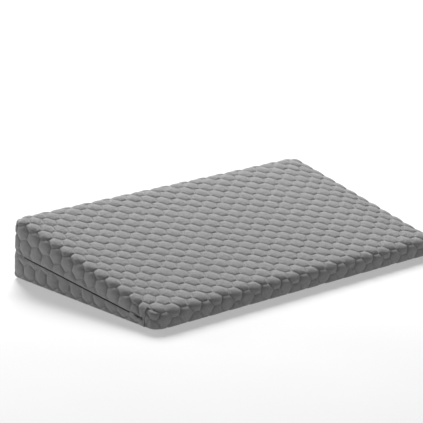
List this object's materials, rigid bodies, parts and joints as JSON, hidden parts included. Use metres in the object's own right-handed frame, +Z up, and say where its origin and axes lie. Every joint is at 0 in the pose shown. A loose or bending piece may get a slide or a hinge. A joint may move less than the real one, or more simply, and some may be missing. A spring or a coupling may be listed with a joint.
{
  "type": "wedge mattress",
  "caption": "Inclined pressure relief wedge: layered foam in a liner and a quilted hexagon knit cover that zips open along one short side.",
  "frame": {"origin": "middle of the underside, at the surface the wedge lies on", "axes": "+X along the long edges, +Y from the thin front edge to the thick back edge, +Z up; the zip is on the -X side"},
  "size_m": [0.6043, 0.3082, 0.0912],
  "materials": {
    "cover_knit": "grey double jersey, quilted in raised hexagon cells",
    "seam_thread": "overlocked polyester thread",
    "woven_tape": "woven polyester tape",
    "coil_nylon": "dark grey nylon coil",
    "slider_metal": "dark grey enamelled zinc",
    "base_foam": "open-cell polyurethane foam",
    "comfort_foam": "viscoelastic foam",
    "liner_jersey": "thin white jersey",
    "label_satin": "blank woven satin"
  },
  "bodies": {
    "wedge": {"foam_base": "base_foam", "foam_comfort_layer": "comfort_foam", "inner_liner": "liner_jersey", "cover_upper": "cover_knit", "cover_lower": "cover_knit", "seam_binding": "woven_tape", "front_seam_binding": "woven_tape", "corner_seam_left": "seam_thread", "corner_seam_right": "seam_thread", "care_label": "label_satin", "zip_tape_upper": "woven_tape", "zip_tape_lower": "woven_tape", "zip_coil_upper": "coil_nylon", "zip_coil_lower": "coil_nylon", "zip_top_stop_upper": "slider_metal", "zip_top_stop_lower": "slider_metal", "zip_bottom_stop": "slider_metal"},
    "slider": {"zip_slider": "slider_metal"},
    "pull_tab": {"zip_pull_tab": "slider_metal"}
  },
  "joints": [
    {"name": "zip_slide", "type": "slide", "parent": "wedge", "child": "slider", "axis": [0, 0.9954, 0.0953], "range_m": [0, 0.2285]},
    {"name": "pull_tab_swing", "type": "hinge", "parent": "slider", "child": "pull_tab", "pos_m": [-0.301, -0.11564, 0.01523], "axis": [0, -0.0953, 0.9954], "range_deg": [0, 170]}
  ]
}
